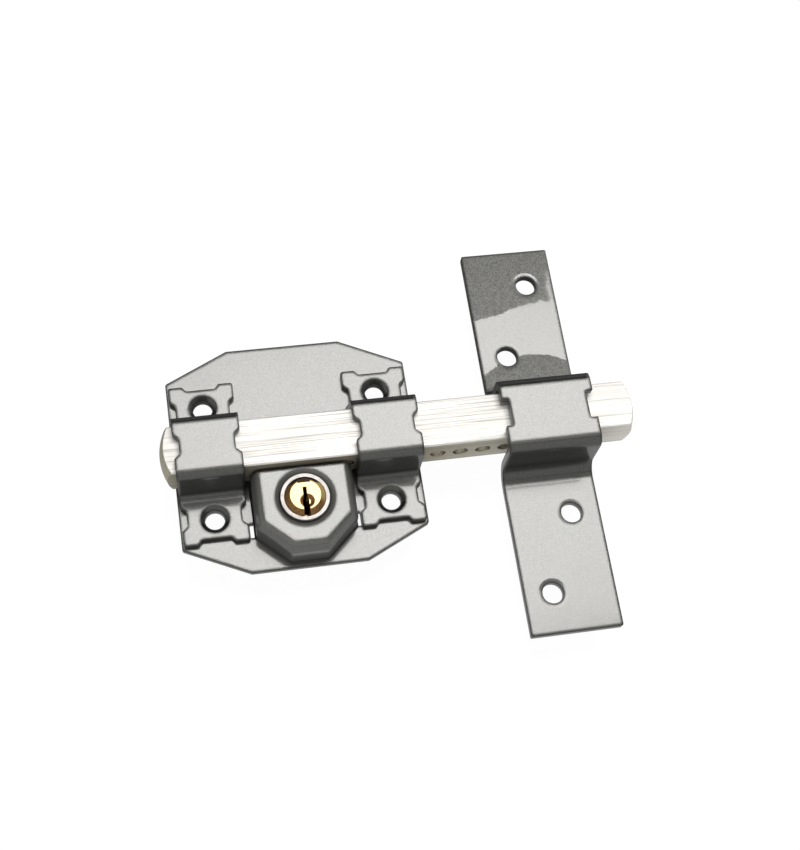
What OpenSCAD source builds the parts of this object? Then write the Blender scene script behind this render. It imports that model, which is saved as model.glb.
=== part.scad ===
// Surface-mounted sliding door bolt, worked by a key cylinder, with its keeper.
// X runs along the bolt towards the keeper, Y runs up the door and Z comes out of the door.
// The origin is the middle of the four door screw holes, on the door's face.

/* [Base plate] */
// Margin of the base plate beyond the guide straps
plate_margin = 0.7; // [0.2:0.1:12]
// Margin of the base plate below the cylinder cover
plate_foot = 2; // [1:0.5:12]
// Thickness of the base plate's sheet
plate_t = 2; // [1.2:0.1:3]
// How far each cut corner runs along the plate's top and bottom edges
plate_cut_x = 21.1; // [12:0.1:22]
// Distance from a strap's foot to the plate's cut corner below it
plate_corner_room = 0.5; // [0.2:0.1:4]
// Height of the plate's middle above the bolt's centre line
plate_lift = 1; // [-0.5:0.1:2]

/* [Bolt] */
// Length of the bolt bar
bolt_len = 156; // [150:1:200]
// Height of the bolt bar up the door
bolt_h = 16; // [13:0.5:19]
// Depth of the bolt bar out from the door
bolt_t = 14; // [11:0.5:17]
// Distance from the plate's face to the back of the bolt
bolt_gap = 2.7; // [2.5:0.1:5]
// Radius of the bolt's turned, domed ends
bolt_dome = 18.5; // [16:0.5:40]
// Chamfer along the bolt's four long edges
bolt_edge = 0.4; // [0.2:0.1:1]
// Reach of the thrown bolt beyond the base plate's edge
bolt_reach = 72; // [68:0.5:90]
// Play of the bolt in its guides, each way
bolt_play = 0.3; // [0.15:0.05:0.6]

/* [Guide straps] */
// Width of each guide strap along the bolt
strap_w = 21.2; // [19:0.1:26]
// Length of each guide strap across the bolt, foot to foot
strap_len = 55; // [52:0.5:66]
// Thickness of the guide straps' sheet
strap_t = 2.3; // [1.5:0.1:3]
// Gap between the cylinder cover and each guide strap
strap_gap = 1.8; // [1.8:0.1:12]
// Inner radius of the bends above the bolt
strap_bend = 0.8; // [0.4:0.1:1.2]
// Outer radius of the bends at the feet
strap_foot = 2.2; // [1:0.1:2.6]
// Depth of the shaped notches in the straps' edges
notch_depth = 1.8; // [1:0.1:2.4]
// Length of a notch at the strap's edge
notch_mouth = 8; // [6.5:0.1:8.6]
// Length of a notch at its floor
notch_floor = 5; // [3:0.1:5.5]
// Distance of the foot notches from the bolt's centre line
notch_row = 18.4; // [18:0.1:19.5]

/* [Door screw holes] */
// Distance between the upper and lower door screw holes
screw_pitch = 38.6; // [38:0.1:46]
// Diameter of the door screw holes
screw_d = 6.4; // [4.5:0.1:7]
// Diameter of the countersinks for the door screws
sink_d = 9.4; // [7.5:0.1:10.5]

/* [Keeper] */
// Width of the keeper along the bolt
keeper_w = 30.6; // [26:0.2:40]
// Length of the keeper up the frame
keeper_len = 138; // [130:1:170]
// Thickness of the keeper's sheet
keeper_t = 2.7; // [2:0.1:3.2]
// Gap from the base plate's edge to the keeper
keeper_gap = 26.6; // [8:0.2:32]
// Room between the keeper and the bolt's top and bottom faces
keeper_side_room = 2.2; // [1.6:0.1:4]
// Room between the keeper and the bolt's front face
keeper_front_room = 1.6; // [0.6:0.1:3]
// How far the keeper's middle hangs below the bolt's centre line
keeper_drop = 1.3; // [0:0.1:1.3]
// Inner radius of the bends above the bolt
keeper_bend = 1.2; // [0.5:0.1:1.5]
// Outer radius of the bends at the keeper's feet
keeper_foot = 5; // [3:0.1:6]
// Depth of the square notches in the keeper's bridge
keeper_notch_depth = 2.4; // [1:0.1:3]
// Length of the square notches in the keeper's bridge
keeper_notch_len = 9.4; // [5:0.1:11]
// Diameter of the keeper's screw holes
keeper_hole_d = 7; // [4.5:0.1:7.5]
// Distance of the outer keeper holes from its middle
keeper_outer_hole = 55.5; // [50:0.1:58]
// Distance of the inner keeper holes from its middle
keeper_inner_hole = 29.1; // [27:0.1:34]
// Sideways step of the keeper holes from its centre line
keeper_hole_step = 5.7; // [3:0.1:7]

/* [Rack and peg wheel] */
// Distance from one rack hole to the next
rack_pitch = 7.5; // [7:0.1:8]
// Diameter of the rack holes
rack_d = 5; // [4.8:0.1:5.6]
// Depth of the rack holes down to their drill point
rack_depth = 4.4; // [3.5:0.1:6]
// Number of pegs on the wheel, so one turn moves the bolt this many holes
pegs = 9; // [9:1:9]
// Diameter of the wheel's ball-ended pegs
peg_d = 3.5; // [2.6:0.1:3.6]
// Depth that a peg reaches into its rack hole
peg_dip = 2.05; // [1.5:0.05:2.4]
// Gap between the peg wheel's pitch circle and the bolt's lower face
mesh_gap = 0.26; // [0.1:0.02:0.4]
// Outer diameter of the peg wheel's hub
hub_d = 17.2; // [16:0.1:18]
// Width of the peg wheel's hub along the key's axis
hub_w = 3.6; // [3:0.1:3.8]

/* [Key cylinder] */
// Diameter of the plug
plug_d = 13.2; // [12.6:0.1:13.6]
// Running clearance around the plug
plug_play = 0.05; // [0.03:0.01:0.08]
// Outer diameter of the front ring
ring_d = 15.6; // [15:0.1:16]
// How far the plug's nose stands out of the front ring
plug_nose = 1.7; // [0.5:0.1:3]
// Diameter of the flat on the plug's nose
nose_d = 10; // [9:0.1:11]
// Width of the keyway
keyway_w = 2; // [1.4:0.1:2.4]
// Height of the keyway's top above the plug's axis
keyway_top = 2.7; // [2:0.1:3.2]
// Outer diameter of the cylinder body's sleeve
sleeve_d = 17.2; // [16.6:0.1:18]
// Width of the pin chamber block under the sleeve
block_w = 8; // [6:0.2:9]
// Distance from the plug's axis to the bottom of the pin chamber block
block_drop = 13.5; // [13:0.1:14]
// How far the cylinder body reaches into the door
body_reach = 12; // [11:0.5:12.5]
// Thickness of the cylinder body's fixing flange
flange_t = 2; // [1.5:0.1:2.5]
// Diameter of the pin chambers
chamber_d = 2.9; // [2.6:0.05:3]
// Distance from one pin chamber to the next
chamber_pitch = 3.6; // [3.4:0.05:3.6]

/* [Cylinder cover] */
// Room between the peg wheel and the cover's side walls
cover_side_room = 1.75; // [0.75:0.05:3]
// Room between the peg wheel and the cover's bottom wall
cover_floor_room = 2.45; // [1:0.05:4]
// Width of the cover's flat bottom edge
cover_floor_w = 12.2; // [8:0.2:16]
// Distance from the cylinder's axis to the cover's lower side corners
cover_corner = 7.6; // [6:0.1:9]
// Height of the cover's face above the rack's centre line
cover_rise = 3.6; // [3.5:0.1:4.6]
// Distance from the cover's face down to the edge where its sides turn in
cover_edge = 4; // [3:0.2:6]
// How far the cover's sides turn in
cover_inset = 2.7; // [1:0.1:2.8]
// Thickness of the cover's wall
cover_t = 1.5; // [1.2:0.1:1.6]
// Gap between the cover's upper edge and the bolt
cover_gap = 0.6; // [0.4:0.1:1.5]
// Diameter of the sunk funnel around the front ring
funnel_d = 19.5; // [17.5:0.1:21]

/* [Hidden] */

$fn = 64;
eps = 0.02;                 // gap that keeps pressed pieces from overlapping
over = 1;                   // how far a cutter runs past what it cuts
arc_steps = 8;              // straight steps in a rounded corner

// Bolt
bolt_z = plate_t + bolt_gap;
bolt_front = bolt_z + bolt_t;
bolt_corner_r = norm([bolt_h, bolt_t]) / 2;

// Rack and wheel
rack_z = bolt_z + bolt_t / 2 - 0.3;
pitch_r = pegs * rack_pitch / 360 * 180 / PI;
axis_y = -bolt_h / 2 - pitch_r - mesh_gap;
peg_tip_r = pitch_r + mesh_gap + peg_dip;
rack_first = -1;
rack_last = pegs + 1;

// Cover, sized from the peg wheel inside it
cover_w = tenth(2 * (peg_tip_r + cover_side_room + cover_t));
cover_drop = tenth(peg_tip_r + cover_floor_room + cover_t);
cover_top = -bolt_h / 2 - cover_gap;
cover_z = rack_z + cover_rise;
cover_face_in = cover_z - cover_t;
cover_foot = 0.5;
cover_foot_t = 0.7;
funnel_h = 1;
tab_w = 4.4;
tab_y = axis_y - 5.1;
slot_room = 1.7;

// Guide straps
strap_pitch = cover_w + strap_w + 2 * strap_gap;
strap_inner_h = bolt_h / 2 + bolt_play;
strap_inner_z = bolt_front + bolt_play;
screw_z = plate_t + strap_t;

// Base plate, sized from what stands on it
plate_w = strap_pitch + strap_w + 2 * plate_margin;
plate_h = tenth(2 * (plate_lift - axis_y + cover_drop + plate_foot));
plate_cut_y = plate_h / 2 - plate_lift - strap_len / 2 - plate_corner_room;
bolt_tip = plate_w / 2 + bolt_reach;
bolt_tail = bolt_tip - bolt_len;

// Keeper
keeper_x = plate_w / 2 + keeper_gap + keeper_w / 2;
keeper_inner_h = bolt_h / 2 + keeper_side_room;
keeper_inner_z = bolt_front + keeper_front_room;

// Key cylinder
plug_r = plug_d / 2;
bore_r = plug_r + plug_play;
ring_front = cover_z + 0.3;
plug_front = ring_front + plug_nose;
shoulder_z = ring_front - 0.3;
hub_z = rack_z - hub_w / 2;
body_front = rack_z - peg_d / 2 - 0.4;
clip_t = 0.8;
clip_groove = 0.9;
plug_back = -body_reach - clip_t - 0.8;
key_cut = [3, 1.8, 2.5, 1.5, 3.2];     // distance of each cut of the key from the plug's axis
driver_len = 2.8;
cap_t = 0.9;
pin_d = chamber_d - 0.1;
shear_gap = 0.12;
wheel_pin_d = 1.6;
wheel_pin_angle = 30;
wheel_pin_in = 4.2;
lug_w = cover_w - 2 * cover_t - 1.2;
lug_h = 7;
lug_x = lug_w / 2 - 2.2;
small_screw_d = 3;
small_head_d = 5.4;

// ---- shared shapes ----

function unit(v) = v / norm(v);

// Sheet sizes are made to the nearest tenth
function tenth(x) = round(10 * x) / 10;

// Points of the arc that rounds the corner b between a and c
function corner_arc(a, b, c, r) =
    let(
        u = unit(a - b),
        v = unit(c - b),
        half = acos(max(-1, min(1, u * v))) / 2,
        centre = b + unit(u + v) * r / sin(half),
        from = b + u * r / tan(half) - centre,
        to = b + v * r / tan(half) - centre,
        start = atan2(from[1], from[0]),
        turn = (atan2(to[1], to[0]) - start + 540) % 360 - 180
    )
    [for (i = [0:arc_steps])
        let(angle = start + turn * i / arc_steps)
        centre + r * [cos(angle), sin(angle)]];

// A closed outline whose corners [x, y, radius] are rounded
function rounded(pts) =
    [for (i = [0:len(pts) - 1])
        let(
            a = pts[(i + len(pts) - 1) % len(pts)],
            b = pts[i],
            c = pts[(i + 1) % len(pts)]
        )
        each b[2] > 0
            ? corner_arc([a[0], a[1]], [b[0], b[1]], [c[0], c[1]], b[2])
            : [[b[0], b[1]]]];

function flip_x(pts) = [for (i = [len(pts) - 1:-1:0]) [-pts[i][0], pts[i][1], pts[i][2]]];

// Extrude a [y, z] profile along X, centred on x = 0
module along_x(length) {
    translate([-length / 2, 0, 0])
        rotate([90, 0, 90])
            linear_extrude(length)
                children();
}

// Bent strip: two feet on z0, and a bridge over the bolt
module hat_profile(half_len, inner_h, inner_z, t, z0, bend, foot) {
    side = [
        [inner_h, inner_z, bend],
        [inner_h, z0, foot + t],
        [half_len, z0, 0],
        [half_len, z0 + t, 0.3],
        [inner_h + t, z0 + t, foot],
        [inner_h + t, inner_z + t, bend + t]
    ];
    polygon(rounded(concat(side, flip_x(side))));
}

// Countersunk hole for a door screw, head at height z
module sunk_hole(z) {
    translate([0, 0, -over])
        cylinder(d = screw_d, h = z + 2 * over);
    translate([0, 0, z - (sink_d - screw_d) / 2])
        cylinder(d1 = screw_d, d2 = sink_d + 2 * over, h = (sink_d - screw_d) / 2 + over);
}

// Everything of the key cylinder is placed from its axis
module at_key_axis() {
    translate([0, axis_y, 0])
        children();
}

// A straight piece that points down from the plug's axis in chamber i
module in_chamber(i, top, length, d1, d2) {
    translate([0, axis_y - top, body_front - 2.9 - (i - 1) * chamber_pitch])
        rotate([90, 0, 0])
            cylinder(d1 = d1, d2 = d2, h = length);
}

// ---- fixed pieces on the door ----

module base_plate() {
    corner = [
        [plate_w / 2, -(plate_h / 2 - plate_cut_y), 1],
        [plate_w / 2, plate_h / 2 - plate_cut_y, 1],
        [plate_w / 2 - plate_cut_x, plate_h / 2, 1]
    ];
    foot = [[plate_w / 2 - plate_cut_x, -plate_h / 2, 1]];
    half = concat(foot, corner);
    color([0.72, 0.72, 0.7])
        difference() {
            translate([0, plate_lift, 0])
                linear_extrude(plate_t)
                    polygon(rounded(concat(half, flip_x(half))));
            for (x = [-1, 1], y = [-1, 1])
                translate([x * strap_pitch / 2, y * screw_pitch / 2, -over])
                    cylinder(d = screw_d, h = plate_t + 2 * over);
            at_key_axis() {
                translate([0, 0, -over])
                    cylinder(d = sleeve_d + 0.6, h = plate_t + 2 * over);
                translate([-block_w / 2 - 0.3, -block_drop - 0.3, -over])
                    cube([block_w + 0.6, block_drop, plate_t + 2 * over]);
                for (x = [-1, 1])
                    translate([x * lug_x, 0, -over])
                        cylinder(d = small_screw_d + 2 * eps, h = plate_t + 2 * over);
            }
            for (side = [-1, 1])
                translate([side * (cover_w / 2 + (slot_room - cover_t) / 2), tab_y, plate_t / 2])
                    cube([cover_t + slot_room + 2 * eps, tab_w + 0.2, plate_t + 2 * over], center = true);
        }
}

// Edge of a guide strap, from its upper end to its lower end, on the right-hand side
function strap_edge() =
    concat(
        [[notch_mouth * 0.74, strap_len / 2, 0.8], [strap_w / 2, strap_len / 2, 0.8]],
        [for (row = [notch_row, 0, -notch_row]) each [
            [strap_w / 2, row + notch_mouth / 2, 0.9],
            [strap_w / 2 - notch_depth, row + notch_floor / 2, 0.9],
            [strap_w / 2 - notch_depth, row - notch_floor / 2, 0.9],
            [strap_w / 2, row - notch_mouth / 2, 0.9]
        ]],
        [[strap_w / 2, -strap_len / 2, 0.8], [notch_mouth * 0.74, -strap_len / 2, 0.8]],
        [[notch_floor * 0.94, -strap_len / 2 + notch_depth * 0.88, 0.8]]
    );

function strap_outline() =
    let(
        right = concat([[notch_floor * 0.94, strap_len / 2 - notch_depth * 0.88, 0.8]], strap_edge())
    )
    rounded(concat(right, flip_x(right)));

module guide_strap(x) {
    color([0.76, 0.76, 0.74])
        translate([x, 0, 0])
            difference() {
                intersection() {
                    along_x(strap_w + over)
                        hat_profile(strap_len / 2 + over, strap_inner_h, strap_inner_z, strap_t,
                                    plate_t, strap_bend, strap_foot);
                    linear_extrude(strap_inner_z + strap_t + over)
                        polygon(strap_outline());
                }
                for (y = [-1, 1])
                    translate([0, y * screw_pitch / 2, 0])
                        sunk_hole(screw_z);
            }
}

module left_guide_strap() { guide_strap(-strap_pitch / 2); }
module right_guide_strap() { guide_strap(strap_pitch / 2); }

// Outline of the cover around the plug's axis, open upwards, turned in by d
function cover_outline(d) =
    let(
        side = cover_w / 2 - d,
        dx = (cover_w - cover_floor_w) / 2,
        dy = cover_drop - cover_corner,
        slant = norm([dx, dy]),
        low = -cover_drop + d,
        // where the slanting side meets the upright side and the bottom edge
        corner_y = -cover_corner + d * (slant - dy) / dx,
        corner_x = cover_floor_w / 2 - d * (slant - dx) / dy,
        right = [[corner_x, low, 1.2], [side, corner_y, 1.2], [side, -axis_y, 0]]
    )
    rounded(concat(right, flip_x(right)));

// Cover's shape turned in by d, from z = from up to its face at z
module cover_solid(d, from, z) {
    slice = 0.1;
    levels = [
        [0, from + slice],
        [0, z - cover_edge],
        [cover_inset * 0.45, z - 1.1],
        [cover_inset * 0.75, z - 0.35],
        [cover_inset, z]
    ];
    hull()
        for (level = levels)
            translate([0, 0, level[1] - slice])
                linear_extrude(slice)
                    polygon(cover_outline(d + level[0]));
}

module cylinder_cover() {
    color([0.76, 0.76, 0.74])
        difference() {
            union() {
                at_key_axis() {
                    cover_solid(0, plate_t, cover_z);
                    // foot that turns out on the plate
                    translate([0, 0, plate_t])
                        linear_extrude(cover_foot_t)
                            polygon(cover_outline(-cover_foot));
                }
                // tabs through the plate's slots
                for (side = [-1, 1])
                    translate([side * (cover_w - cover_t) / 2, tab_y, plate_t / 2 + over])
                        cube([cover_t - 0.1, tab_w, plate_t + 2 * over], center = true);
            }
            at_key_axis()
                cover_solid(cover_t, -over, cover_face_in);
            translate([-cover_w, cover_top, 0])
                cube([2 * cover_w, bolt_h, cover_z + over]);
            at_key_axis() {
                cylinder(d = ring_d + 2 * eps, h = cover_z + over);
                // sunk funnel with a rounded rim
                rotate_extrude()
                    polygon(rounded([
                        [0, cover_z - funnel_h, 0],
                        [ring_d / 2 + 0.5, cover_z - funnel_h, 0.5],
                        [funnel_d / 2, cover_z + eps, 0.7],
                        [funnel_d / 2 + over, cover_z + eps, 0],
                        [funnel_d / 2 + over, cover_z + over, 0],
                        [0, cover_z + over, 0]
                    ]));
            }
        }
}

module front_ring() {
    color([0.86, 0.84, 0.8])
        at_key_axis()
            translate([0, 0, hub_z + hub_w + 0.1])
                difference() {
                    cylinder(d = ring_d, h = ring_front - hub_z - hub_w - 0.1);
                    translate([0, 0, -over])
                        cylinder(r = bore_r, h = cover_z);
                }
}

module cylinder_body() {
    color([0.78, 0.66, 0.36])
        difference() {
            union() {
                at_key_axis() {
                    translate([0, 0, -body_reach]) {
                        cylinder(d = sleeve_d, h = body_front + body_reach);
                        translate([-block_w / 2, -block_drop, 0])
                            cube([block_w, block_drop, body_front + body_reach]);
                    }
                    translate([0, 0, plate_t])
                        cylinder(d = 22, h = flange_t);
                    translate([-lug_w / 2, -lug_h / 2, plate_t])
                        cube([lug_w, lug_h, flange_t]);
                }
            }
            at_key_axis() {
                translate([0, 0, -body_reach - over])
                    cylinder(r = bore_r, h = body_front + body_reach + 2 * over);
                for (x = [-1, 1])
                    translate([x * lug_x, 0, plate_t - over]) {
                        cylinder(d = small_screw_d + 2 * eps, h = flange_t + 2 * over);
                        translate([0, 0, over + flange_t - (small_head_d - small_screw_d) / 2])
                            cylinder(d1 = small_screw_d + 2 * eps, d2 = small_head_d + 2 * eps,
                                     h = (small_head_d - small_screw_d) / 2 + eps);
                    }
            }
            for (i = [1:5])
                in_chamber(i, plug_r - over, block_drop, chamber_d, chamber_d);
        }
}

module cylinder_screws() {
    head_h = (small_head_d - small_screw_d) / 2;
    color([0.6, 0.6, 0.58])
        at_key_axis()
            for (x = [-1, 1])
                translate([x * lug_x, 0, 0])
                    difference() {
                        union() {
                            cylinder(d = small_screw_d, h = plate_t + flange_t - head_h + 0.1);
                            translate([0, 0, plate_t + flange_t - head_h])
                                cylinder(d1 = small_screw_d, d2 = small_head_d, h = head_h);
                        }
                        translate([-small_head_d, -0.4, plate_t + flange_t - 0.6])
                            cube([2 * small_head_d, 0.8, over]);
                    }
}

module driver_pin(i) {
    color([0.7, 0.7, 0.68])
        in_chamber(i, plug_r + shear_gap, driver_len, pin_d, pin_d);
}

// Coil in chamber i: a round wire swept up its helix in short straight steps
module pin_spring(i) {
    wire_r = 0.18;
    coil_r = pin_d / 2 - wire_r - 0.05;
    turns = 5;
    steps = 14;
    sides = 6;
    from = plug_r + shear_gap + driver_len + wire_r + eps;
    to = block_drop - cap_t - wire_r - eps;
    count = turns * steps;
    rings = [for (k = [0:count])
        let(
            a = 360 * k / steps,
            out = [cos(a), sin(a), 0],
            h = from + (to - from) * k / count
        )
        for (s = [0:sides - 1])
            (coil_r + wire_r * cos(360 * s / sides)) * out + [0, 0, h + wire_r * sin(360 * s / sides)]];
    faces = concat(
        [[for (s = [0:sides - 1]) s]],
        [for (k = [0:count - 1], s = [0:sides - 1])
            let(low = k * sides, high = low + sides, next = (s + 1) % sides)
            [low + s, high + s, high + next, low + next]],
        [[for (s = [sides - 1:-1:0]) count * sides + s]]
    );
    color([0.6, 0.6, 0.6])
        translate([0, axis_y, body_front - 2.9 - (i - 1) * chamber_pitch])
            rotate([90, 0, 0])
                polyhedron(rings, faces);
}

module chamber_plug(i) {
    color([0.8, 0.68, 0.4])
        in_chamber(i, block_drop - cap_t, cap_t, chamber_d - 2 * eps, chamber_d - 2 * eps);
}

// ---- pieces that turn with the key ----

module plug() {
    color([0.83, 0.68, 0.34])
        difference() {
            at_key_axis()
                difference() {
                    // round bar turned down to its nose
                    rotate_extrude()
                        polygon(rounded([
                            [0, plug_back, 0],
                            [plug_r, plug_back, 0],
                            [plug_r, shoulder_z, 0.2],
                            [nose_d / 2, plug_front, 0.5],
                            [0, plug_front, 0]
                        ]));
                    // keyway, open at the plug's lower side and narrower at its top
                    translate([-keyway_w / 2, -plug_r - over, -body_reach + 2])
                        cube([keyway_w, plug_r + over - 0.9, 2 * cover_z + body_reach]);
                    translate([-keyway_w * 0.3, -2, -body_reach + 2])
                        cube([keyway_w * 0.6, 2 + keyway_top, 2 * cover_z + body_reach]);
                    // dished key guide and the index notch at the rim
                    translate([0.4, -2, plug_front - 1.1])
                        cylinder(r1 = 1.1, r2 = 2.4, h = 1.15);
                    translate([-2, nose_d / 2 - 0.8, plug_front - 1.2])
                        cube([4, 3, over + 0.5]);
                    // groove for the clip
                    translate([0, 0, -body_reach - clip_t - 0.04])
                        difference() {
                            cylinder(r = plug_r + over, h = clip_t + 0.04);
                            translate([0, 0, -over])
                                cylinder(r = plug_r - clip_groove, h = 3 * over);
                        }
                    // seat of the wheel pin
                    translate([0, 0, rack_z])
                        rotate([0, 90, wheel_pin_angle])
                            cylinder(d = wheel_pin_d + 2 * eps, h = plug_d);
                    // slot that drives the outer side of the lock
                    translate([-plug_r, -1, plug_back - over])
                        cube([plug_d, 2, over + 1.2]);
                }
            for (i = [1:5])
                in_chamber(i, 1.2, plug_r, chamber_d, chamber_d);
        }
}

module peg_wheel() {
    color([0.62, 0.6, 0.56])
        at_key_axis()
            difference() {
                union() {
                    translate([0, 0, hub_z])
                        cylinder(d = hub_d, h = hub_w);
                    for (k = [0:pegs - 1])
                        rotate([0, 0, 90 + 360 * k / pegs])
                            translate([0, 0, rack_z]) {
                                rotate([0, 90, 0])
                                    cylinder(d = peg_d, h = peg_tip_r - peg_d / 2);
                                translate([peg_tip_r - peg_d / 2, 0, 0])
                                    sphere(d = peg_d);
                            }
                }
                translate([0, 0, hub_z - over])
                    cylinder(r = plug_r + eps, h = hub_w + 2 * over);
                translate([0, 0, rack_z])
                    rotate([0, 90, wheel_pin_angle])
                        cylinder(d = wheel_pin_d + 2 * eps, h = hub_d);
            }
}

module wheel_pin() {
    color([0.5, 0.5, 0.5])
        at_key_axis()
            translate([0, 0, rack_z])
                rotate([0, 90, wheel_pin_angle])
                    translate([0, 0, wheel_pin_in])
                        cylinder(d = wheel_pin_d, h = hub_d / 2 - wheel_pin_in - 0.3);
}

module plug_clip() {
    color([0.4, 0.4, 0.4])
        at_key_axis()
            translate([0, 0, -body_reach - clip_t - 0.02])
                difference() {
                    cylinder(r = plug_r + 1.2, h = clip_t);
                    translate([0, 0, -over])
                        cylinder(r = plug_r - clip_groove + eps, h = 3 * over);
                    translate([0, -plug_d / 5, -over])
                        cube([plug_d, plug_d / 2.5, 3 * over]);
                }
}

module key_pin(i) {
    foot = plug_r - 0.2;
    tip = 0.7;
    color([0.85, 0.72, 0.42]) {
        in_chamber(i, key_cut[i - 1], tip, 1.2, pin_d);
        in_chamber(i, key_cut[i - 1] + tip, foot - key_cut[i - 1] - tip, pin_d, pin_d);
    }
}

// ---- the bolt and its keeper ----

module bolt_bar() {
    mid_z = bolt_z + bolt_t / 2;
    turned_r = bolt_corner_r + 0.3;
    sag = bolt_dome - sqrt(pow(bolt_dome, 2) - pow(turned_r, 2));
    c = bolt_edge;
    section = [
        [-bolt_h / 2 + c, -bolt_t / 2], [bolt_h / 2 - c, -bolt_t / 2],
        [bolt_h / 2, -bolt_t / 2 + c], [bolt_h / 2, bolt_t / 2 - c],
        [bolt_h / 2 - c, bolt_t / 2], [-bolt_h / 2 + c, bolt_t / 2],
        [-bolt_h / 2, bolt_t / 2 - c], [-bolt_h / 2, -bolt_t / 2 + c]
    ];
    color([0.88, 0.87, 0.84])
        difference() {
            translate([bolt_tail, 0, mid_z])
                intersection() {
                    translate([bolt_len / 2, 0, 0])
                        along_x(bolt_len + over)
                            polygon(section);
                    union() {
                        translate([sag, 0, 0])
                            rotate([0, 90, 0])
                                cylinder(r = turned_r, h = bolt_len - 2 * sag);
                        for (x = [bolt_dome, bolt_len - bolt_dome])
                            translate([x, 0, 0])
                                rotate([0, 0, 90])
                                    sphere(r = bolt_dome);
                    }
                }
            for (k = [rack_first:rack_last])
                translate([k * rack_pitch, -bolt_h / 2 - over, rack_z])
                    rotate([-90, 0, 0]) {
                        cylinder(d = rack_d, h = rack_depth + over);
                        translate([0, 0, rack_depth + over])
                            cylinder(d1 = rack_d, d2 = 0.2, h = rack_d * 0.3);
                    }
        }
}

function keeper_outline() =
    let(
        lift = keeper_drop / 2,
        right = [
            [keeper_w / 2, keeper_len / 2, 0.6],
            [keeper_w / 2, lift + keeper_notch_len / 2, 0.3],
            [keeper_w / 2 - keeper_notch_depth, lift + keeper_notch_len / 2, 0.5],
            [keeper_w / 2 - keeper_notch_depth, lift - keeper_notch_len / 2, 0.5],
            [keeper_w / 2, lift - keeper_notch_len / 2, 0.3],
            [keeper_w / 2, -keeper_len / 2, 0.6]
        ]
    )
    rounded(concat(right, flip_x(right)));

module keeper_strap() {
    color([0.74, 0.74, 0.72])
        translate([keeper_x, -keeper_drop, 0])
            difference() {
                intersection() {
                    along_x(keeper_w + over)
                        hat_profile(keeper_len / 2 + over, keeper_inner_h, keeper_inner_z, keeper_t,
                                    0, keeper_bend, keeper_foot);
                    linear_extrude(keeper_inner_z + keeper_t + over)
                        polygon(keeper_outline());
                }
                for (hole = [
                        [keeper_hole_step, keeper_outer_hole], [-keeper_hole_step, keeper_inner_hole],
                        [keeper_hole_step, -keeper_inner_hole], [-keeper_hole_step, -keeper_outer_hole]])
                    translate([hole[0], hole[1], -over])
                        cylinder(d = keeper_hole_d, h = keeper_t + 2 * over);
            }
}

base_plate();
left_guide_strap();
right_guide_strap();
bolt_bar();
keeper_strap();
cylinder_cover();
front_ring();
cylinder_body();
cylinder_screws();
plug();
peg_wheel();
wheel_pin();
plug_clip();
key_pin(1);  // key_pin_1
key_pin(2);  // key_pin_2
key_pin(3);  // key_pin_3
key_pin(4);  // key_pin_4
key_pin(5);  // key_pin_5
driver_pin(1);  // driver_pin_1
driver_pin(2);  // driver_pin_2
driver_pin(3);  // driver_pin_3
driver_pin(4);  // driver_pin_4
driver_pin(5);  // driver_pin_5
pin_spring(1);  // pin_spring_1
pin_spring(2);  // pin_spring_2
pin_spring(3);  // pin_spring_3
pin_spring(4);  // pin_spring_4
pin_spring(5);  // pin_spring_5
chamber_plug(1);  // chamber_plug_1
chamber_plug(2);  // chamber_plug_2
chamber_plug(3);  // chamber_plug_3
chamber_plug(4);  // chamber_plug_4
chamber_plug(5);  // chamber_plug_5
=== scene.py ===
# %% [markdown]
# # A key-operated sliding door bolt
#
# The object is a surface-mounted lock: a square bolt bar slides in two bent guide straps on an
# eight-sided base plate, and a key plug under a small pressed cover drives it into a bridged keeper
# on the door frame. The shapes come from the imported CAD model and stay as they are. What is made
# here is the look: the paint on the sheet parts, the brushed bar, the brass plug, and the light.

# %% Load the CAD model
import math

import bpy
from mathutils import Matrix, Vector


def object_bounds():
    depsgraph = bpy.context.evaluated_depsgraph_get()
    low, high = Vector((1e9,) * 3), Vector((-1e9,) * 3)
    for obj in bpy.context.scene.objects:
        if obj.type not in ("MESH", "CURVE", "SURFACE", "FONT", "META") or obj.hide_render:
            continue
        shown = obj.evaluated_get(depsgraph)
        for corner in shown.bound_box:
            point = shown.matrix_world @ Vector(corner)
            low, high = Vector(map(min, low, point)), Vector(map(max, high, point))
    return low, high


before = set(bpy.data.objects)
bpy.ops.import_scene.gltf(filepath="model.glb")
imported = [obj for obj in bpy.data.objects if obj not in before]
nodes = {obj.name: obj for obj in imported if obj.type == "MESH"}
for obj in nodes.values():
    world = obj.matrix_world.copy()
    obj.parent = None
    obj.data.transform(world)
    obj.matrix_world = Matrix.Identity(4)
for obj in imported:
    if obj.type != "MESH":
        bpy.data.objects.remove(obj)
cad_low, cad_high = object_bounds()
print("CAD nodes:", len(nodes), "box", [round(v, 4) for v in (*cad_low, *cad_high)])

MM = 0.001

# %% [markdown]
# ## Camera
#
# The lock is seen from in front of the door, from a little below and to the left of the plug, with
# the camera rolled so that the bolt climbs to the right. A location, a point to aim at and a roll
# say all of that. The lens is a medium telephoto on a 36 mm sensor, and a small shift frames it.

# %% Camera
CAMERA_AT = Vector((-34.7, -171.0, 448.1)) * MM
CAMERA_AIM = Vector((40.3, -9.6, 10.0)) * MM
CAMERA_ROLL = math.radians(17.1)
SENSOR_MM = 36
LENS_MM = 61.44
SHIFT = (-0.0282, 0.0427)
NEAREST_SEEN = 0.01

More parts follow.
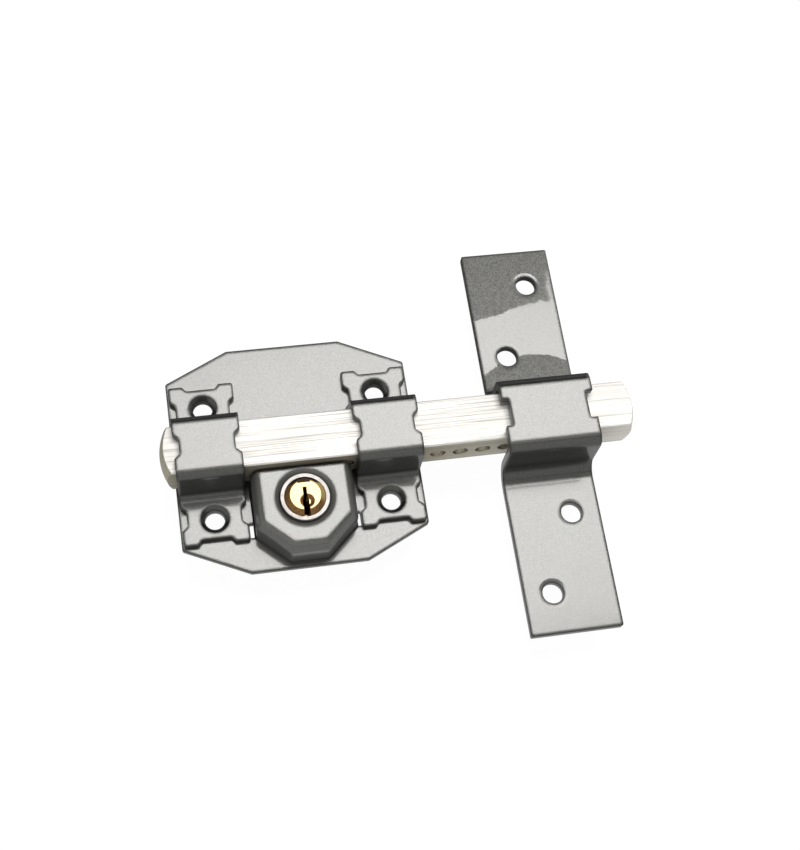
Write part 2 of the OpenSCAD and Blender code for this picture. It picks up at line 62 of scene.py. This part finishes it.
camera_data = bpy.data.cameras.new("camera")
camera_data.sensor_width = SENSOR_MM
camera_data.lens = LENS_MM
camera_data.shift_x, camera_data.shift_y = SHIFT
camera_data.clip_start = NEAREST_SEEN
camera = bpy.data.objects.new("camera", camera_data)
look = (CAMERA_AIM - CAMERA_AT).to_track_quat("-Z", "Y").to_matrix()
roll = Matrix.Rotation(CAMERA_ROLL, 3, "Z")
camera.matrix_world = Matrix.Translation(CAMERA_AT) @ (look @ roll).to_4x4()
bpy.context.scene.collection.objects.link(camera)
bpy.context.scene.camera = camera
print("camera", round((CAMERA_AIM - CAMERA_AT).length, 3), "m from what it looks at")

# %% [markdown]
# ## Shader maths as Python
#
# A finish is a formula over the surface: noise, masks and ramps added and multiplied. Wiring every
# Math node by hand hides the formula, so a small class wraps a socket and adds the node that each
# operator stands for. Any other node comes from one method that sets its options first and its
# sockets second. Two small functions come before it: one finds a socket, the other fills it.

# %% Find and fill a socket
def socket_of(sockets, name):
    """A socket by its index, its identifier or its label, with _ for a space."""
    if isinstance(name, int):
        return sockets[name]
    wanted = (name, name.replace("_", " "))
    return next(s for s in sockets if s.enabled and (s.identifier == name or s.name in wanted))


def plug_in(tree, socket, value):
    """Links a signal to a socket, or sets a number or a colour on it."""
    if isinstance(value, Signal):
        tree.links.new(value.socket, socket)
    elif hasattr(socket.default_value, "__len__") and len(value) < len(socket.default_value):
        socket.default_value = (*value, 1)
    else:
        socket.default_value = value


# %% Values that can be added and multiplied
class Signal:
    """A socket of a node tree that can be used in a Python expression."""

    def __init__(self, tree, socket):
        self.tree = tree
        self.socket = socket

    def node(self, kind, settings=None, output=0, **values):
        """Adds any node: settings first, then the values or links of its sockets."""
        made = self.tree.nodes.new(kind)
        for name, value in (settings or {}).items():
            setattr(made, name, value)
        for name, value in values.items():
            plug_in(self.tree, socket_of(made.inputs, name), value)
        return Signal(self.tree, socket_of(made.outputs, output))

    def math(self, operation, *others):
        """One Math node, with this value as its first number."""
        made = self.tree.nodes.new("ShaderNodeMath")
        made.operation = operation
        for socket, value in zip(made.inputs, (self, *others)):
            plug_in(self.tree, socket, value)
        return Signal(self.tree, made.outputs[0])

    def flipped(self, operation, first):
        """The same with the plain number first, as in 1 - mask."""
        made = self.tree.nodes.new("ShaderNodeMath")
        made.operation = operation
        made.inputs[0].default_value = first
        plug_in(self.tree, made.inputs[1], self)
        return Signal(self.tree, made.outputs[0])

    def __add__(self, other):
        return self.math("ADD", other)

    def __sub__(self, other):
        return self.math("SUBTRACT", other)

    def __mul__(self, other):
        return self.math("MULTIPLY", other)

    def __rsub__(self, other):
        return self.flipped("SUBTRACT", other)

    __radd__ = __add__
    __rmul__ = __mul__

    def split(self):
        """The three numbers of a vector."""
        parts = self.tree.nodes.new("ShaderNodeSeparateXYZ")
        plug_in(self.tree, parts.inputs[0], self)
        return [Signal(self.tree, out) for out in parts.outputs]

    def above(self, edge, soft):
        """1 where the value is above edge, 0 below, with a smooth step of width soft."""
        return self.node("ShaderNodeMapRange", {"interpolation_type": "SMOOTHSTEP"}, "Result",
                         Value=self, From_Min=edge - soft / 2, From_Max=edge + soft / 2)

    def below(self, edge, soft):
        """The opposite: 1 where the value is below edge."""
        return 1 - self.above(edge, soft)

    def spread(self, low, high, to_low, to_high):
        """The value from low to high, laid out from to_low to to_high and held there."""
        return self.node("ShaderNodeMapRange", None, "Result", Value=self, From_Min=low,
                         From_Max=high, To_Min=to_low, To_Max=to_high)


# %% [markdown]
# Colours need their own way to be blended, because a Math node keeps one number of the three and
# turns a colour grey. A Mix node set to colours keeps them.

# %% Blend two colours
def mix(share, first, second):
    """Colour first where share is 0 and second where it is 1."""
    source = next(v for v in (share, first, second) if isinstance(v, Signal))
    made = source.tree.nodes.new("ShaderNodeMix")
    made.data_type = "RGBA"
    plug_in(source.tree, made.inputs[0], share)
    plug_in(source.tree, made.inputs[6], first)
    plug_in(source.tree, made.inputs[7], second)
    return Signal(source.tree, made.outputs[2])


# %% [markdown]
# ## Where on the piece
#
# Every finish starts from the same three facts about a point: where it is, in millimetres, which
# way its face looks, and how near it is to an edge. The place comes from the object's own
# coordinates, so the finish moves with the piece. The edge is found by comparing the true normal
# with one that a Bevel node has rounded: where they differ, an edge is near.

# %% Start a material
EDGE_STARTS = 0.01
EDGE_FULL = 0.12


class Finish:
    """A new material with its shader, and the places and noises that finishes are made of."""

    def __init__(self, name, **shader_values):
        self.material = bpy.data.materials.new(name)
        self.material.use_nodes = True
        self.tree = self.material.node_tree
        self.shader = self.tree.nodes["Principled BSDF"]
        for socket, value in shader_values.items():
            plug_in(self.tree, socket_of(self.shader.inputs, socket), value)
        start = Signal(self.tree, None)
        self.node = start.node
        place = self.node("ShaderNodeTexCoord", None, "Object")
        self.mm = self.node("ShaderNodeVectorMath", {"operation": "SCALE"}, "Vector",
                            Vector=place, Scale=1 / MM)
        self.x, self.y, self.z = self.mm.split()
        facing = self.node("ShaderNodeNewGeometry", None, "True Normal")
        _, self.face_y, self.face_z = facing.split()

    def stretched(self, x, y, z):
        """The place in mm, squeezed by a factor along each axis."""
        return self.node("ShaderNodeVectorMath", {"operation": "MULTIPLY"}, "Vector",
                         Vector=self.mm, Vector_001=(x, y, z))

    def noise(self, size_mm, detail=2.0, rough=0.5, place=None, shift=0.5):
        """Smooth noise from 0 to 1 whose blobs are about size_mm across."""
        return self.node("ShaderNodeTexNoise", {"noise_dimensions": "4D"}, 0,
                         Vector=place or self.mm, W=shift, Scale=1 / size_mm, Detail=detail,
                         Roughness=rough)

    def wear(self, **links):
        """Joins values to the shader's sockets by name."""
        for socket, value in links.items():
            plug_in(self.tree, socket_of(self.shader.inputs, socket), value)

    def edge_share(self, width_mm):
        """1 at the sharp edges of the piece, falling to 0 about width_mm away from them."""
        rounded = self.node("ShaderNodeBevel", {"samples": 8}, 0, Radius=width_mm * MM)
        flat = self.node("ShaderNodeNewGeometry", None, "Normal")
        same = self.node("ShaderNodeVectorMath", {"operation": "DOT_PRODUCT"}, "Value",
                         Vector=rounded, Vector_001=flat)
        return (1 - same).spread(EDGE_STARTS, EDGE_FULL, 0, 1)

    def bump(self, *layers, edge_mm=0.0, leans=()):
        """Stacks (height, depth in mm) layers into one normal, over edges rounded by edge_mm.

        A lean is a share from 0 to 1 and the vector by which the normal leans where it is 1."""
        normal = self.node("ShaderNodeBevel", {"samples": 6}, 0, Radius=edge_mm * MM)
        for share, way in leans:
            normal = self.node("ShaderNodeVectorMath", {"operation": "MULTIPLY_ADD"}, "Vector",
                               Vector=way, Vector_001=share, Vector_002=normal)
        for height, depth_mm in layers:
            normal = self.node("ShaderNodeBump", None, 0, Normal=normal, Height=height,
                               Distance=depth_mm * MM)
        self.wear(Normal=normal)
        return normal

    def second_shader(self, share, **values):
        """Lays another shader over the first one, mixed in by a share from 0 to 1."""
        over = self.tree.nodes.new("ShaderNodeBsdfPrincipled")
        for socket, value in values.items():
            plug_in(self.tree, socket_of(over.inputs, socket), value)
        blend = self.tree.nodes.new("ShaderNodeMixShader")
        plug_in(self.tree, blend.inputs[0], share)
        self.tree.links.new(self.shader.outputs[0], blend.inputs[1])
        self.tree.links.new(over.outputs[0], blend.inputs[2])
        output = self.tree.nodes["Material Output"]
        self.tree.links.new(blend.outputs[0], output.inputs["Surface"])


def paint(finish, *names):
    """Puts the finish on CAD nodes."""
    for name in names:
        slots = nodes[name].data.materials
        slots.clear()
        slots.append(finish.material)
    print(finish.material.name, "->", ", ".join(names))


# %% [markdown]
# ## Silver-grey paint on the sheet parts
#
# The plate, the straps, the cover and the keeper are pressed from sheet and finished in a glossy
# grey paint with fine metal flakes. It has two layers that mirror: the clear top is a sharp but
# weak mirror, and the flakes below it are a dull one. The paint itself is nearly black, so a face
# that looks at the lamp is silver and one that looks away is dark. The sharp edges are painted
# near-black, a painted dark outline of shade, and the sheet under the paint is never quite flat.
#
# One shader with one roughness can be either the sharp mirror or the dull one. Two shaders, half
# and half, are both. On the straps and the keeper a mask by the way the face looks paints shade:
# the legs get a darker paint, and the far bends, which face up and away, are painted near-black.

# %% Flake paint
SHEET_EDGE_MM = 1.5
SHADED_EDGE_MM = 1.6
FLAKE_MM = 0.30
CLEAR_IOR = 1.82
FLAKE_SHARE = 0.5
FLAKE_ROUGH = 0.36
FLAKE_LIGHT = 0.07
# The paint's own colour on the flats, then a darker grey that is painted shade for the legs
PAINT_ON_FLATS = (0.14, 0.14, 0.133)
SHADED_LEG_PAINT = (0.055, 0.055, 0.052)
# Near-black painted shade: a dark outline on the sharp edges, and the far bends
PAINTED_SHADE_DARK = (0.012, 0.012, 0.012)


def flake_grey(strength):
    """The flakes' grey, with a trace of warmth, at some strength."""
    light = FLAKE_LIGHT * strength
    return (light, light, light * 0.955)


def shade_by_facing(coat, base):
    """The paint's own colour on the flats, painted shade on the legs, and a painted-shade share for
    the far bends.
    """
    on_flat = coat.face_z.above(0.93, 0.06)
    far_bend_shade = coat.face_y.above(0.16, 0.16) * coat.face_z.above(0.3, 0.2) * 0.92
    return mix(on_flat, base, PAINT_ON_FLATS), far_bend_shade


def flake_paint(name, base=PAINT_ON_FLATS, waves_of=None):
    """The whole paint. waves_of says where a piece's sheet leans, if it does."""
    coat = Finish(name, Metallic=0.0, IOR=CLEAR_IOR)
    flakes = coat.noise(FLAKE_MM, detail=2, rough=0.7)
    cloud = coat.noise(11, detail=3, shift=3.3)
    sheet = coat.noise(30, detail=0, shift=7.3)
    # The sharp edges are painted darker, as a painted dark outline of shade; the same mask makes
    # them rougher
    edge = coat.edge_share(SHADED_EDGE_MM) * 0.9
    painted_shade = edge
    sparkle = mix(flakes.spread(0.3, 0.7, 0, 1), flake_grey(0.4), flake_grey(1.65))
    leans = ()
    if waves_of:
        leans, turned_away = waves_of(coat)
        coarse = coat.noise(0.45, detail=2, rough=0.8, shift=9.3).spread(0.35, 0.65, 0, 1)
        sparkle = mix(turned_away, sparkle, mix(coarse, flake_grey(0.1), flake_grey(2.4)))
    # A darker base paints shade on the legs, and the far bends, which face up and away, are painted
    # near-black
    if base != PAINT_ON_FLATS:
        base, far_bend_shade = shade_by_facing(coat, base)
        painted_shade = painted_shade.math("MAXIMUM", far_bend_shade)
    coat.wear(Base_Color=mix(painted_shade, base, PAINTED_SHADE_DARK),
              Roughness=cloud.spread(0.3, 0.7, 0.07, 0.12) + edge * 0.4)
    normal = coat.bump((sheet, 0.08), (flakes, 0.005), edge_mm=SHEET_EDGE_MM, leans=leans)
    coat.second_shader(FLAKE_SHARE, Metallic=1.0, Roughness=FLAKE_ROUGH, Normal=normal,
                       Base_Color=mix(painted_shade, sparkle, PAINTED_SHADE_DARK))
    return coat


# %% Paint the plate, the cover and the straps
paint(flake_paint("silver-grey flake paint"), "base_plate", "cylinder_cover")
# The straps' legs and far bends get painted shade
paint(flake_paint("strap paint with painted shade", SHADED_LEG_PAINT), "left_guide_strap", "right_guide_strap")

# %% [markdown]
# ## The keeper's own waves
#
# The keeper is a longer and looser bending. Its upper flange dips at the far end and curls up
# towards the bend, and the punch drew the sheet in a little round each hole. None of that changes
# the outline, but the gloss shows it: where the sheet leans away, the lamp slides out of the
# mirror and the paint goes dark, with a wandering edge.
#
# The CAD mesh stays flat, so the leans are made in the shading: each is a small vector that is
# added to the normal where its mask is 1. All places are in millimetres on the keeper.

# %% Keeper paint
KEEPER_HOLES = [(87.6, 54.2), (76.2, 27.8), (87.6, -30.4), (76.2, -56.8)]
KEEPER_MIDDLE_X = 84
BEND_Y = 14
ARCH_TOP_Y = 28
FAR_END_LEAN = (0, 0.045, 0)
NEAR_BEND_LEAN = (0, 0.085, 0)
HOLE_LEAN_PER_MM = 0.02
HOLE_LEAN_MOST = 0.098


def keeper_waves(coat):
    """Where and how the keeper's sheet leans, and where it has turned away from the lamp."""
    wander = coat.noise(9, detail=4, rough=0.6, shift=11.3) - 0.5
    ragged = coat.noise(2.2, detail=2, shift=4.3) - 0.5
    far_edge = coat.x.spread(67, 92, 43, 47.5) + wander * 7 + ragged * 2
    on_flat = coat.face_z.above(0.97, 0.02)
    lit_rim = (coat.x + wander * 5).above(95, 2.5) * coat.y.below(61, 8) * 0.7
    far_end = (coat.y - far_edge).above(0, 1.6) * (1 - lit_rim) * on_flat
    off_centre = coat.x - KEEPER_MIDDLE_X
    near_edge = ARCH_TOP_Y - off_centre * off_centre * 0.022 + wander * 3 + ragged
    near_bend = (near_edge - coat.y).above(0, 1.4) * coat.y.above(BEND_Y, 2) * on_flat
    leans = [(far_end, FAR_END_LEAN), (near_bend, NEAR_BEND_LEAN)]
    for x, y in KEEPER_HOLES:
        inward = coat.node("ShaderNodeVectorMath", {"operation": "SUBTRACT"}, "Vector",
                           Vector=(x, y, 0), Vector_001=coat.mm)
        flat_way = coat.node("ShaderNodeVectorMath", {"operation": "MULTIPLY"}, "Vector",
                             Vector=inward, Vector_001=(HOLE_LEAN_PER_MM, HOLE_LEAN_PER_MM, 0))
        reach = coat.node("ShaderNodeVectorMath", {"operation": "LENGTH"}, "Value", Vector=flat_way)
        leans.append((reach.below(HOLE_LEAN_MOST, 0.015) * on_flat, flat_way))
    turned_away = far_end.math("MAXIMUM", near_bend)
    return leans, turned_away


# The keeper's legs and far bend get the same painted shade as the straps
paint(flake_paint("keeper flake paint", SHADED_LEG_PAINT, keeper_waves), "keeper_strap")

# %% [markdown]
# ## The brushed bolt
#
# The bolt is satin nickel, brushed along its length, so it glows instead of mirroring. The brush
# marks are long thin scratches: the noise that makes them is squeezed hard across the bar and
# hardly at all along it. The narrow faces were only drawn, not brushed, and stay duller and a
# little yellow, and their colour grows brighter along the bar towards the keeper end. The corners
# are painted darker, a painted dark outline of shade. The drilled rack holes were cut after the
# plating and shine, so a mask round the rack's line makes them smoother and brighter.

# %% The rack's place on the bar
RACK_Z = 11.4
RACK_HALF = 2.8
BAR_FROM_X = -36
BAR_TO_X = 104
LOWER_FACE_Y = -7.9
HOLE_BOTTOM_Y = -1.5


def inside_rack(nickel):
    """1 in the rack's holes: behind the lower face, near the holes' line, and not on the domes."""
    along = nickel.x.above(BAR_FROM_X, 0.5) * nickel.x.below(BAR_TO_X, 0.5)
    deep = nickel.y.above(LOWER_FACE_Y, 0.1) * nickel.y.below(HOLE_BOTTOM_Y, 1)
    on_line = (nickel.z - RACK_Z).math("ABSOLUTE").below(RACK_HALF, 0.4)
    return along * deep * on_line


# %% Brushed nickel
ACROSS_BRUSH = 2.2
ALONG_BRUSH = 0.02
SCRATCH_GREY = (0.56, 0.54, 0.525)
RACK_NICKEL = (0.90, 0.87, 0.78)
# Painted shade for the bar's corners, a dark outline
PAINTED_CORNER_SHADE = (0.25, 0.23, 0.20)


def brushed_nickel(name):
    nickel = Finish(name, Metallic=1.0, Anisotropic=0.4)
    brushed = nickel.stretched(ALONG_BRUSH, ACROSS_BRUSH, ACROSS_BRUSH)
    marks = nickel.noise(1, detail=3, rough=0.75, place=brushed)
    long_marks = nickel.noise(1, detail=2, rough=0.5, place=nickel.stretched(0.012, 0.9, 0.9))
    cloud = nickel.noise(14, detail=2, shift=5.0)
    scratch = marks.above(0.575, 0.12)
    bright = mix(cloud.spread(0.3, 0.7, 0, 1), (0.80, 0.79, 0.77), (0.90, 0.89, 0.865))
    front = mix(scratch, bright, SCRATCH_GREY)
    dull = mix(marks.spread(0.35, 0.65, 0, 1), (0.42, 0.39, 0.31), (0.60, 0.57, 0.48))
    # The narrow faces are darker near the lock and brighter towards the keeper end
    brighter_to_keeper_end = mix(marks.spread(0.35, 0.65, 0, 1), (0.76, 0.74, 0.68), (0.92, 0.91, 0.87))
    drawn = mix(nickel.x.spread(45, 108, 0, 1), dull, brighter_to_keeper_end)
    in_rack = inside_rack(nickel)
    sides = mix(in_rack, drawn, RACK_NICKEL)
    colour = mix(nickel.face_z.above(0.5, 0.3), sides, front)
    # The bar's corners are painted darker, as a painted dark outline of shade
    painted_shade = nickel.edge_share(0.5) * 0.45
    nickel.wear(Base_Color=mix(painted_shade, colour, PAINTED_CORNER_SHADE),
                Roughness=long_marks.spread(0.3, 0.7, 0.70, 0.80) - in_rack * 0.45)
    nickel.bump((marks, 0.012), edge_mm=0.3)
    return nickel


paint(brushed_nickel("brushed nickel"), "bolt_bar")

# %% [markdown]
# ## The ring, the plug and what is behind them
#
# The ring and the plug are turned and then handled for years. At this size the tool's marks are
# too fine to see one by one, so a fine even grain stands for them, with a slow change from dull to
# bright over it. The works behind the cover are the same brass and steel left plain.

# %% Turned metals
GRAIN_MM = 0.5
GRAIN_DEPTH_MM = 0.003
TURNED_EDGE_MM = 0.15
DULLED = 0.8


def turned_metal(name, colour, rough):
    """Plain metal with a fine grain, a little duller in places."""
    metal = Finish(name, Metallic=1.0)
    grain = metal.noise(GRAIN_MM, detail=3)
    cloud = metal.noise(6, detail=2, shift=2.0)
    dull = tuple(DULLED * c for c in colour)
    metal.wear(Base_Color=mix(cloud.spread(0.3, 0.7, 0, 1), dull, colour),
               Roughness=grain.spread(0.3, 0.7, rough * 0.85, rough * 1.15))
    metal.bump((grain, GRAIN_DEPTH_MM), edge_mm=TURNED_EDGE_MM)
    return metal


# %% [markdown]
# ## The plug
#
# The plug is brass, pale on its polished flat and brown on the rest, where the brown is partly the
# brass's own darker tone and partly painted shade. One side of the rim is painted lighter as a
# painted highlight, and the notch at the top is painted black as painted shade. The flat is found
# by the way it faces, and the rest by where it is.

# %% Plug brass
PLUG_Y = -19
PLUG_FRONT_Z = 17
NOTCH_SHADE = (0.03, 0.02, 0.015)


def plug_brass(name):
    brass = turned_metal(name, (0.87, 0.70, 0.36), 0.55)
    grain = brass.noise(0.4, detail=3, shift=1.0)
    flat = mix(grain.spread(0.3, 0.7, 0, 1), (0.80, 0.64, 0.33), (0.90, 0.74, 0.40))
    # The rim's brown is partly the brass's own darker tone and partly painted shade
    brown_and_shaded = mix(grain.spread(0.3, 0.7, 0, 1), (0.16, 0.08, 0.035), (0.40, 0.23, 0.09))
    # One side of the rim is painted lighter, a painted highlight where the light falls
    painted_highlight_side = (brass.x + brass.y - PLUG_Y).above(3.5, 4)
    rim = mix(painted_highlight_side, brown_and_shaded, (0.66, 0.50, 0.24))
    colour = mix(brass.face_z.above(0.965, 0.03), rim, flat)
    # The keyway notch is painted black, as painted shade in the recess
    in_notch = brass.y.above(PLUG_Y + 4.1, 0.1) * brass.z.below(PLUG_FRONT_Z - 0.5, 0.3)
    brass.wear(Base_Color=mix(in_notch, colour, NOTCH_SHADE))
    return brass


# %% Give every part of the lock its metal
LOCK_PINS = range(1, 6)
paint(turned_metal("bright nickel ring", (0.58, 0.555, 0.53), 0.6), "front_ring")
paint(plug_brass("plug brass"), "plug")
paint(turned_metal("body brass", (0.72, 0.56, 0.28), 0.32), "cylinder_body",
      *[f"key_pin_{i}" for i in LOCK_PINS], *[f"chamber_plug_{i}" for i in LOCK_PINS])
paint(turned_metal("turned steel", (0.55, 0.55, 0.54), 0.3), "peg_wheel", "wheel_pin",
      *[f"driver_pin_{i}" for i in LOCK_PINS])
paint(turned_metal("spring steel", (0.35, 0.35, 0.36), 0.35), "plug_clip",
      *[f"pin_spring_{i}" for i in LOCK_PINS])
paint(turned_metal("zinc screws", (0.6, 0.6, 0.57), 0.3), "cylinder_screws")

# %% [markdown]
# ## The studio
#
# Metal shows the room more than itself, so the room is part of the finish. It has a pale table, one
# large soft box, a small fill, and walls that are light on the viewer's side and dim beyond.
#
# The lock lies on a table that glows, as a light table does. A table as white as it should look
# would light the dark legs too much from below, so there are two: the pale one is only seen, and
# the underlay, which is greyer and dark beyond the lock, is only felt, in mirrors and soft light.

# %% Table
TABLE_SIZE = 12
TABLE_GAP = 0.0005
SEEN_GLOW = 0.97
FELT_GLOW = 0.70
DARK_FROM_Y = 10
table_z = cad_low.z - TABLE_GAP


def table_top(name, z, glow, shade, dark_beyond=False):
    """A large flat that glows, nearly white, and may be dark beyond the lock."""
    bpy.ops.mesh.primitive_plane_add(size=TABLE_SIZE, location=(0, 0, z))
    top = bpy.context.object
    top.name = name
    surface = Finish(name, Roughness=0.9, Emission_Strength=glow)
    speckle = surface.noise(3, detail=2)
    white = mix(speckle, (0.98, 0.98, 0.98), (1, 1, 1))
    if dark_beyond:
        white = mix(surface.y.below(DARK_FROM_Y, 30), (0.12, 0.12, 0.12), white)
    surface.wear(Base_Color=mix(speckle, (shade,) * 3, (shade * 1.02,) * 3), Emission_Color=white)
    top.data.materials.append(surface.material)
    print("table", name, "glows", glow, "at z", round(z, 4))
    return top


seen_table = table_top("pale table", table_z, SEEN_GLOW, shade=0.05)
seen_table.visible_glossy = False
seen_table.visible_diffuse = False
felt_table = table_top("table underlay", table_z - 0.001, FELT_GLOW, shade=0.2, dark_beyond=True)
felt_table.visible_camera = False

# %% [markdown]
# ## Lamps
#
# A soft box is an area lamp: large, so that its edge in the mirror is soft on the dull layer and
# crisp on the clear one. It hangs where the flats mirror it to the viewer. A fill low behind the
# lock lights the faces that look away. Neither lamp is seen itself.

# %% Lamps
LAMP_WHITE = (1.0, 0.99, 0.972)


def soft_box(name, at, aim, size, watts, spin=0.0):
    """A rectangle of light at a place, turned to face another, with its size in metres."""
    data = bpy.data.lights.new(name, "AREA")
    data.shape = "RECTANGLE"
    data.size, data.size_y = size
    data.energy = watts
    data.color = LAMP_WHITE
    light = bpy.data.objects.new(name, data)
    turn = (Vector(aim) - Vector(at)).to_track_quat("-Z", "Y").to_matrix()
    spun = turn @ Matrix.Rotation(math.radians(spin), 3, "Z")
    light.matrix_world = Matrix.Translation(at) @ spun.to_4x4()
    bpy.context.scene.collection.objects.link(light)
    light.visible_camera = False
    print("lamp", name, "of", watts, "W")


BOX_AT = (0.175, 0.305, 0.9)
BOX_UNDER = (0.175, 0.305, 0)
FILL_AT = (0.70, 0.62, 0.32)
LOCK_MIDDLE = (0.03, 0, 0.01)
soft_box("overhead soft box", BOX_AT, BOX_UNDER, size=(0.66, 0.42), watts=8.4, spin=9)
soft_box("back fill", FILL_AT, LOCK_MIDDLE, size=(0.6, 0.5), watts=3)

# %% [markdown]
# ## Walls
#
# The walls are the world's own colour, worked out from the direction: light towards the front left
# where the viewer stands, dim beyond, and light again near the horizon. The bends and legs mirror
# them. Seen directly the world is white, so that no line shows where the table ends.

# %% Walls
LIGHT_WALL = (0.84, 0.84, 0.80)
DIM_WALL = (0.07, 0.07, 0.07)
HORIZON = (0.80, 0.80, 0.78)

world = bpy.data.worlds.new("studio")
bpy.context.scene.world = world
world.use_nodes = True
air = Signal(world.node_tree, None)
right, beyond, height = air.node("ShaderNodeTexCoord", None, "Generated").split()
front_left = right * -0.5 - beyond * 0.8
walls = mix(front_left.spread(-0.1, 0.45, 0, 1), DIM_WALL, LIGHT_WALL)
room = mix(height.below(0.28, 0.25), walls, HORIZON)
seen = air.node("ShaderNodeLightPath", None, "Is Camera Ray")
background = world.node_tree.nodes["Background"]
plug_in(world.node_tree, background.inputs["Color"], mix(seen, room, (1.0, 1.0, 1.0)))
bpy.context.scene.view_settings.view_transform = "Standard"
print("world", world.name, "with", len(world.node_tree.nodes), "nodes")

# %% [markdown]
# ## Size and finish
#
# Nothing here changes the lock's size. The last call brings the view layer up to date.

# %% Size and finish
bpy.context.view_layer.update()
